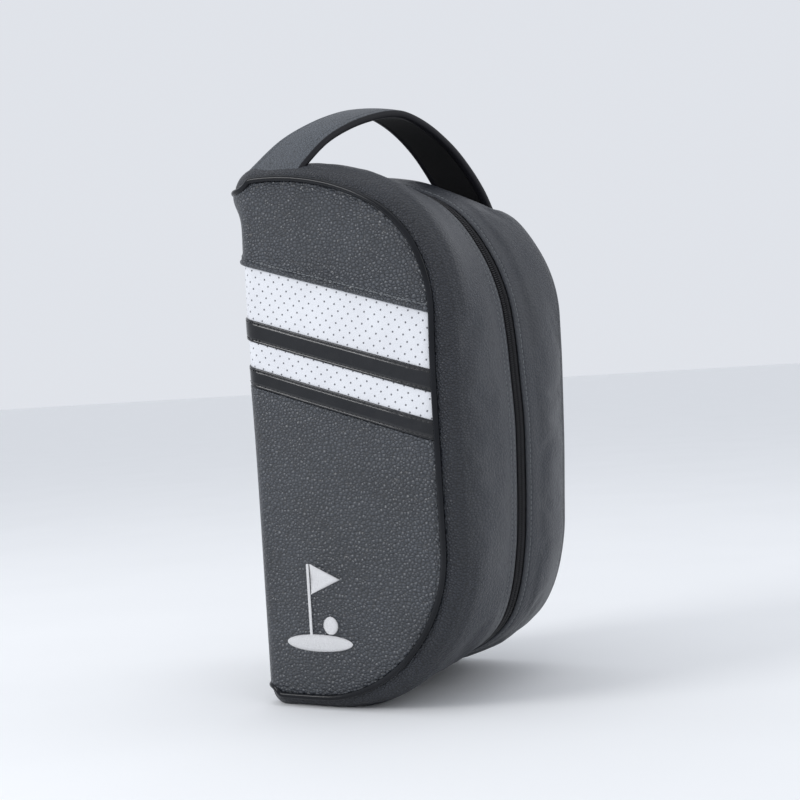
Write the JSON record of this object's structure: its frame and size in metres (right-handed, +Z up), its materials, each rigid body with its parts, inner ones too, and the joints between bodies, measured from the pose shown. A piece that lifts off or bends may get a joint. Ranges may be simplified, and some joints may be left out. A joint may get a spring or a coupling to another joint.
{
  "type": "golf shoe bag",
  "caption": "Upright padded shoe bag in black leather, D-shaped from the front, zipped round its gusset to open like a book, with a strap handle and white perforated bands.",
  "frame": {"origin": "on the floor, under the middle of the case: 79 mm from the straight spine, midway between front and back", "axes": "+Z up; +X from the spine towards the rounded side; -Y is the banded front panel"},
  "size_m": [0.158, 0.18, 0.4106],
  "materials": {
    "black_leather": "pebbled, semi-matt",
    "white_leather": "perforated, semi-matt",
    "patent": "patent gloss",
    "embroidery": "satin stitch",
    "foam": "foam",
    "board": "board",
    "lining": "woven lining",
    "binding": "woven tape",
    "coil": "nylon coil",
    "zip_metal": "black enamelled zinc"
  },
  "bodies": {
    "rear_half": {"back_panel": "black_leather", "rear_spine_upper": "black_leather", "rear_spine_lower": "black_leather", "white_band_wide_spine": "white_leather", "patent_strip_upper_spine": "patent", "white_band_narrow_spine": "white_leather", "patent_strip_lower_spine": "patent", "gusset_rear": "black_leather", "piping_rear": "patent", "back_panel_foam": "foam", "gusset_foam_rear": "foam", "spine_board_rear": "board", "lining_rear": "lining", "seam_binding_rear": "binding", "zipper_tape_rear": "binding", "zipper_coil_rear": "coil", "zipper_stops": "zip_metal", "handle_strap": "black_leather", "handle_core": "foam", "handle_lining": "lining"},
    "front_half": {"front_panel_upper": "black_leather", "front_panel_lower": "black_leather", "white_band_wide_front": "white_leather", "patent_strip_upper_front": "patent", "white_band_narrow_front": "white_leather", "patent_strip_lower_front": "patent", "emblem": "embroidery", "gusset_front": "black_leather", "piping_front": "patent", "front_panel_foam": "foam", "gusset_foam_front": "foam", "spine_board_front": "board", "lining_front": "lining", "seam_binding_front": "binding", "zipper_tape_front": "binding", "zipper_coil_front": "coil", "handle_tab": "black_leather"},
    "slider": {"slider_body": "zip_metal"},
    "pull": {"pull_tab": "zip_metal"}
  },
  "joints": [
    {"name": "front_open", "type": "hinge", "parent": "rear_half", "child": "front_half", "pos_m": [-0.079, 0, 0.1827], "axis": [0, 0, -1], "range_deg": [0, 150]},
    {"name": "slider_run", "type": "hinge", "parent": "rear_half", "child": "slider", "pos_m": [-0.067, 0, 0.1605], "axis": [0, 1, 0], "range_deg": [0, 22]},
    {"name": "pull_flip", "type": "hinge", "parent": "slider", "child": "pull", "pos_m": [-0.0548, 0, 0.36864], "axis": [0, -1, 0], "range_deg": [0, 150]}
  ]
}
